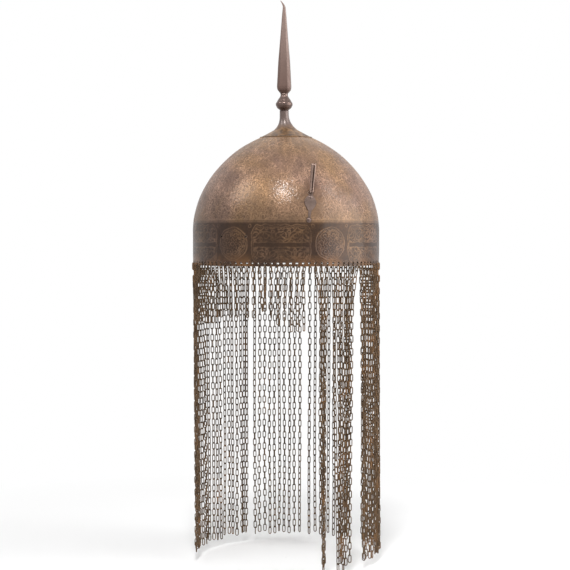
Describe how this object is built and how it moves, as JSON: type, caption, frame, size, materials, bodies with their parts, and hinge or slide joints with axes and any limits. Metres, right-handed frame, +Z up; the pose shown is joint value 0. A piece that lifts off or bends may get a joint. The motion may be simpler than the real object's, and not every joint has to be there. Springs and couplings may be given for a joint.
{
  "type": "kulah khud helmet",
  "caption": "Domed steel helmet with a flared finial and tall faceted spike, one plume socket, a rim pierced all round and a curtain of hanging link chains, short over the face.",
  "frame": {"origin": "centre of the helmet's opening, on the plane of the bowl's rim", "axes": "+Z up through the spike, -Y out of the brow, +X to the wearer's left"},
  "size_m": [0.2022, 0.2022, 0.5931],
  "materials": {
    "etched_steel": "satin",
    "warm_steel": "satin",
    "polished_steel": "satin",
    "dark_steel": "satin",
    "chain_iron": "matte"
  },
  "bodies": {
    "helmet": {"bowl": "etched_steel", "finial_foot": "warm_steel", "finial_knop": "polished_steel", "spike": "dark_steel", "tang_washer": "polished_steel", "plume_plate": "dark_steel", "plume_tube": "dark_steel", "plume_rivets": "polished_steel", "rim_rings": "chain_iron"},
    "chain_1": {"chain_1": "chain_iron"},
    "chain_2": {"chain_2": "chain_iron"},
    "chain_3": {"chain_3": "chain_iron"},
    "chain_4": {"chain_4": "chain_iron"},
    "chain_5": {"chain_5": "chain_iron"},
    "chain_6": {"chain_6": "chain_iron"},
    "chain_7": {"chain_7": "chain_iron"},
    "chain_8": {"chain_8": "chain_iron"},
    "chain_9": {"chain_9": "chain_iron"},
    "chain_10": {"chain_10": "chain_iron"},
    "chain_11": {"chain_11": "chain_iron"},
    "chain_12": {"chain_12": "chain_iron"},
    "chain_13": {"chain_13": "chain_iron"},
    "chain_14": {"chain_14": "chain_iron"},
    "chain_15": {"chain_15": "chain_iron"},
    "chain_16": {"chain_16": "chain_iron"},
    "chain_17": {"chain_17": "chain_iron"},
    "chain_18": {"chain_18": "chain_iron"},
    "chain_19": {"chain_19": "chain_iron"},
    "chain_20": {"chain_20": "chain_iron"},
    "chain_21": {"chain_21": "chain_iron"},
    "chain_22": {"chain_22": "chain_iron"},
    "chain_23": {"chain_23": "chain_iron"},
    "chain_24": {"chain_24": "chain_iron"},
    "chain_25": {"chain_25": "chain_iron"},
    "chain_26": {"chain_26": "chain_iron"},
    "chain_27": {"chain_27": "chain_iron"},
    "chain_28": {"chain_28": "chain_iron"},
    "chain_29": {"chain_29": "chain_iron"},
    "chain_30": {"chain_30": "chain_iron"},
    "chain_31": {"chain_31": "chain_iron"},
    "chain_32": {"chain_32": "chain_iron"}
  },
  "joints": [
    {"name": "chain_1_swing", "type": "hinge", "parent": "helmet", "child": "chain_1", "pos_m": [0.00972, -0.09872, -0.00425], "axis": [-0.9952, -0.098, 0], "range_deg": [-5, 60]},
    {"name": "chain_2_swing", "type": "hinge", "parent": "helmet", "child": "chain_2", "pos_m": [0.0288, -0.09493, -0.00425], "axis": [-0.9569, -0.2903, 0], "range_deg": [-5, 60]},
    {"name": "chain_3_swing", "type": "hinge", "parent": "helmet", "child": "chain_3", "pos_m": [0.04676, -0.08749, -0.00425], "axis": [-0.8819, -0.4714, 0], "range_deg": [-5, 60]},
    {"name": "chain_4_swing", "type": "hinge", "parent": "helmet", "child": "chain_4", "pos_m": [0.06293, -0.07668, -0.00425], "axis": [-0.773, -0.6344, 0], "range_deg": [-5, 60]},
    {"name": "chain_5_swing", "type": "hinge", "parent": "helmet", "child": "chain_5", "pos_m": [0.07668, -0.06293, -0.00425], "axis": [-0.6344, -0.773, 0], "range_deg": [-5, 60]},
    {"name": "chain_6_swing", "type": "hinge", "parent": "helmet", "child": "chain_6", "pos_m": [0.08749, -0.04676, -0.00425], "axis": [-0.4714, -0.8819, 0], "range_deg": [-5, 60]},
    {"name": "chain_7_swing", "type": "hinge", "parent": "helmet", "child": "chain_7", "pos_m": [0.09493, -0.0288, -0.00425], "axis": [-0.2903, -0.9569, 0], "range_deg": [-5, 60]},
    {"name": "chain_8_swing", "type": "hinge", "parent": "helmet", "child": "chain_8", "pos_m": [0.09872, -0.00972, -0.00425], "axis": [-0.098, -0.9952, 0], "range_deg": [-5, 60]},
    {"name": "chain_9_swing", "type": "hinge", "parent": "helmet", "child": "chain_9", "pos_m": [0.09872, 0.00972, -0.00425], "axis": [0.098, -0.9952, 0], "range_deg": [-5, 60]},
    {"name": "chain_10_swing", "type": "hinge", "parent": "helmet", "child": "chain_10", "pos_m": [0.09493, 0.0288, -0.00425], "axis": [0.2903, -0.9569, 0], "range_deg": [-5, 60]},
    {"name": "chain_11_swing", "type": "hinge", "parent": "helmet", "child": "chain_11", "pos_m": [0.08749, 0.04676, -0.00425], "axis": [0.4714, -0.8819, 0], "range_deg": [-5, 60]},
    {"name": "chain_12_swing", "type": "hinge", "parent": "helmet", "child": "chain_12", "pos_m": [0.07668, 0.06293, -0.00425], "axis": [0.6344, -0.773, 0], "range_deg": [-5, 60]},
    {"name": "chain_13_swing", "type": "hinge", "parent": "helmet", "child": "chain_13", "pos_m": [0.06293, 0.07668, -0.00425], "axis": [0.773, -0.6344, 0], "range_deg": [-5, 60]},
    {"name": "chain_14_swing", "type": "hinge", "parent": "helmet", "child": "chain_14", "pos_m": [0.04676, 0.08749, -0.00425], "axis": [0.8819, -0.4714, 0], "range_deg": [-5, 60]},
    {"name": "chain_15_swing", "type": "hinge", "parent": "helmet", "child": "chain_15", "pos_m": [0.0288, 0.09493, -0.00425], "axis": [0.9569, -0.2903, 0], "range_deg": [-5, 60]},
    {"name": "chain_16_swing", "type": "hinge", "parent": "helmet", "child": "chain_16", "pos_m": [0.00972, 0.09872, -0.00425], "axis": [0.9952, -0.098, 0], "range_deg": [-5, 60]},
    {"name": "chain_17_swing", "type": "hinge", "parent": "helmet", "child": "chain_17", "pos_m": [-0.00972, 0.09872, -0.00425], "axis": [0.9952, 0.098, 0], "range_deg": [-5, 60]},
    {"name": "chain_18_swing", "type": "hinge", "parent": "helmet", "child": "chain_18", "pos_m": [-0.0288, 0.09493, -0.00425], "axis": [0.9569, 0.2903, 0], "range_deg": [-5, 60]},
    {"name": "chain_19_swing", "type": "hinge", "parent": "helmet", "child": "chain_19", "pos_m": [-0.04676, 0.08749, -0.00425], "axis": [0.8819, 0.4714, 0], "range_deg": [-5, 60]},
    {"name": "chain_20_swing", "type": "hinge", "parent": "helmet", "child": "chain_20", "pos_m": [-0.06293, 0.07668, -0.00425], "axis": [0.773, 0.6344, 0], "range_deg": [-5, 60]},
    {"name": "chain_21_swing", "type": "hinge", "parent": "helmet", "child": "chain_21", "pos_m": [-0.07668, 0.06293, -0.00425], "axis": [0.6344, 0.773, 0], "range_deg": [-5, 60]},
    {"name": "chain_22_swing", "type": "hinge", "parent": "helmet", "child": "chain_22", "pos_m": [-0.08749, 0.04676, -0.00425], "axis": [0.4714, 0.8819, 0], "range_deg": [-5, 60]},
    {"name": "chain_23_swing", "type": "hinge", "parent": "helmet", "child": "chain_23", "pos_m": [-0.09493, 0.0288, -0.00425], "axis": [0.2903, 0.9569, 0], "range_deg": [-5, 60]},
    {"name": "chain_24_swing", "type": "hinge", "parent": "helmet", "child": "chain_24", "pos_m": [-0.09872, 0.00972, -0.00425], "axis": [0.098, 0.9952, 0], "range_deg": [-5, 60]},
    {"name": "chain_25_swing", "type": "hinge", "parent": "helmet", "child": "chain_25", "pos_m": [-0.09872, -0.00972, -0.00425], "axis": [-0.098, 0.9952, 0], "range_deg": [-5, 60]},
    {"name": "chain_26_swing", "type": "hinge", "parent": "helmet", "child": "chain_26", "pos_m": [-0.09493, -0.0288, -0.00425], "axis": [-0.2903, 0.9569, 0], "range_deg": [-5, 60]},
    {"name": "chain_27_swing", "type": "hinge", "parent": "helmet", "child": "chain_27", "pos_m": [-0.08749, -0.04676, -0.00425], "axis": [-0.4714, 0.8819, 0], "range_deg": [-5, 60]},
    {"name": "chain_28_swing", "type": "hinge", "parent": "helmet", "child": "chain_28", "pos_m": [-0.07668, -0.06293, -0.00425], "axis": [-0.6344, 0.773, 0], "range_deg": [-5, 60]},
    {"name": "chain_29_swing", "type": "hinge", "parent": "helmet", "child": "chain_29", "pos_m": [-0.06293, -0.07668, -0.00425], "axis": [-0.773, 0.6344, 0], "range_deg": [-5, 60]},
    {"name": "chain_30_swing", "type": "hinge", "parent": "helmet", "child": "chain_30", "pos_m": [-0.04676, -0.08749, -0.00425], "axis": [-0.8819, 0.4714, 0], "range_deg": [-5, 60]},
    {"name": "chain_31_swing", "type": "hinge", "parent": "helmet", "child": "chain_31", "pos_m": [-0.0288, -0.09493, -0.00425], "axis": [-0.9569, 0.2903, 0], "range_deg": [-5, 60]},
    {"name": "chain_32_swing", "type": "hinge", "parent": "helmet", "child": "chain_32", "pos_m": [-0.00972, -0.09872, -0.00425], "axis": [-0.9952, 0.098, 0], "range_deg": [-5, 60]}
  ]
}
